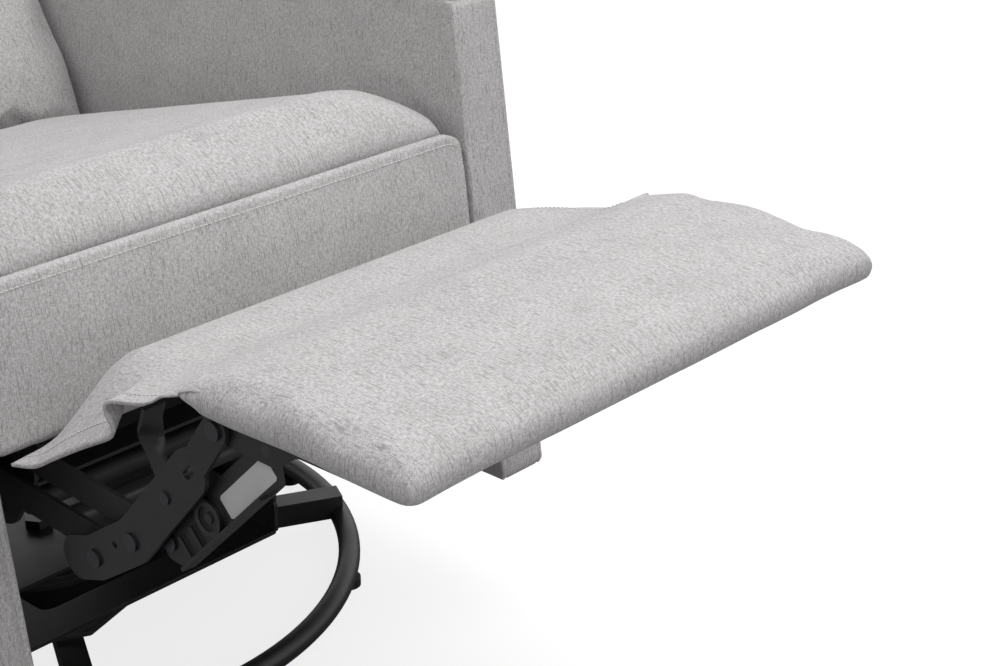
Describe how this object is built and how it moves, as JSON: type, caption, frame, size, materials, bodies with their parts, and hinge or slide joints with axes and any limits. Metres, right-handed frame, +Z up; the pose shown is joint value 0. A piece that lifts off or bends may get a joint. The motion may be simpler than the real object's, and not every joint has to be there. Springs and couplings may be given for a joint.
{
  "type": "recliner",
  "caption": "Grey woven-fabric swivel glider recliner on a black steel ring base, footrest raised on scissor links and back partly reclined",
  "frame": {"origin": "on the floor, on the swivel axis at the ring base's centre", "axes": "+Z up along the swivel axis, -Y the way the chair faces, +X to the sitter's left"},
  "size_m": [0.6574, 1.4655, 0.9394],
  "materials": {
    "black_paint": "semi-gloss",
    "zinc": "satin",
    "grey_weave": "matte",
    "plywood": "raw",
    "webbing": "matte",
    "black_plastic": "matte",
    "black_rubber": "matte"
  },
  "bodies": {
    "base": {"base_ring": "black_paint", "base_floor_glides": "black_plastic", "base_spokes": "black_paint", "base_swivel_plate": "black_paint", "swivel_lower_race": "black_paint", "swivel_bolt": "zinc"},
    "turntable": {"swivel_upper_race": "black_paint", "turntable_frame": "black_paint", "glide_pins_upper": "zinc"},
    "front_swing_links": {"glide_links_front": "black_paint"},
    "rear_swing_links": {"glide_links_rear": "black_paint"},
    "chair_frame": {"glide_pins_lower": "zinc", "carriage_plate_left": "black_paint", "carriage_plate_right": "black_paint", "side_plate_left": "black_paint", "side_plate_right": "black_paint", "cross_tubes": "black_paint", "front_slotted_rail": "black_paint", "arm_spacers": "black_paint", "frame_studs": "zinc", "seat_cushion": "grey_weave", "seat_fascia": "grey_weave", "seat_cross_rails": "plywood", "seat_side_rails": "plywood", "seat_webbing": "webbing", "arm_cover_left": "grey_weave", "arm_cover_right": "grey_weave", "arm_boards": "plywood", "arm_pad_left": "grey_weave", "arm_pad_right": "grey_weave", "lever_bezel": "black_plastic"},
    "crank": {"crank_links": "black_paint", "crank_torque_tube": "black_paint"},
    "upper_arms": {"upper_links": "black_paint"},
    "main_links": {"main_link_left": "black_paint", "main_link_right": "black_paint", "main_link_studs": "zinc", "flap_straps": "black_paint", "flap_strap_rivets": "zinc"},
    "toggles": {"toggle_link_left": "black_paint", "toggle_link_right": "black_paint", "toggle_studs": "zinc"},
    "footrest": {"footrest_brackets": "black_paint", "bracket_studs": "zinc", "footrest_board": "plywood", "footrest_pad": "grey_weave", "footrest_screws": "zinc", "footrest_bumpers": "black_rubber", "footrest_block": "grey_weave", "footrest_flap": "grey_weave"},
    "backrest": {"back_frame": "plywood", "back_shell": "grey_weave", "back_cushion_lumbar": "grey_weave", "back_cushion_middle": "grey_weave", "back_cushion_head": "grey_weave", "back_brackets": "black_paint", "back_pivot_pins": "zinc"},
    "release_lever": {"lever_shaft": "zinc", "lever_handle": "black_plastic"}
  },
  "joints": [
    {"name": "swivel", "type": "hinge", "parent": "base", "child": "turntable", "pos_m": [0, 0, 0.052], "axis": [0, 0, 1], "continuous": true},
    {"name": "glide_front", "type": "hinge", "parent": "turntable", "child": "front_swing_links", "pos_m": [0, -0.145, 0.166], "axis": [1, 0, 0], "range_deg": [-22, 22]},
    {"name": "glide_rear", "type": "hinge", "parent": "turntable", "child": "rear_swing_links", "pos_m": [0, 0.145, 0.166], "axis": [1, 0, 0], "range_deg": [-22.5, 22.5]},
    {"name": "glide_carriage", "type": "hinge", "parent": "front_swing_links", "child": "chair_frame", "pos_m": [0, -0.145, 0.086], "axis": [1, 0, 0], "range_deg": [-22.5, 22.5]},
    {"name": "footrest_fold", "type": "hinge", "parent": "chair_frame", "child": "crank", "pos_m": [0, -0.27415, 0.30501], "axis": [1, 0, 0], "range_deg": [0, 120.41], "deforming": ["footrest_flap"]},
    {"name": "upper_arm_fold", "type": "hinge", "parent": "chair_frame", "child": "upper_arms", "pos_m": [0, -0.32015, 0.33601], "axis": [1, 0, 0], "range_deg": [-0.5, 120.91]},
    {"name": "main_link_fold", "type": "hinge", "parent": "crank", "child": "main_links", "pos_m": [0, -0.442, 0.298], "axis": [1, 0, 0], "range_deg": [-120.91, 0.5]},
    {"name": "toggle_fold", "type": "hinge", "parent": "upper_arms", "child": "toggles", "pos_m": [0, -0.52, 0.3374], "axis": [1, 0, 0], "range_deg": [-119.57, 0.5]},
    {"name": "footrest_turn", "type": "hinge", "parent": "main_links", "child": "footrest", "pos_m": [0, -0.588, 0.45], "axis": [1, 0, 0], "range_deg": [-0.5, 82.5]},
    {"name": "back_recline", "type": "hinge", "parent": "chair_frame", "child": "backrest", "pos_m": [0, 0.2783, 0.3222], "axis": [1, 0, 0], "range_deg": [-20, 19]},
    {"name": "lever_pull", "type": "hinge", "parent": "chair_frame", "child": "release_lever", "pos_m": [-0.33, -0.15, 0.42], "axis": [1, 0, 0], "range_deg": [-35, 0], "stiffness_Nm_per_rad": 1.5}
  ],
  "couplings": [
    {"joint": "glide_rear", "follows": "glide_front", "ratio": 1},
    {"joint": "glide_carriage", "follows": "glide_front", "ratio": -1},
    {"joint": "upper_arm_fold", "follows": "footrest_fold", "ratio": 1},
    {"joint": "main_link_fold", "follows": "footrest_fold", "ratio": -1},
    {"joint": "toggle_fold", "follows": "footrest_fold", "ratio": -0.98891},
    {"joint": "footrest_turn", "follows": "footrest_fold", "ratio": 0.68101}
  ]
}
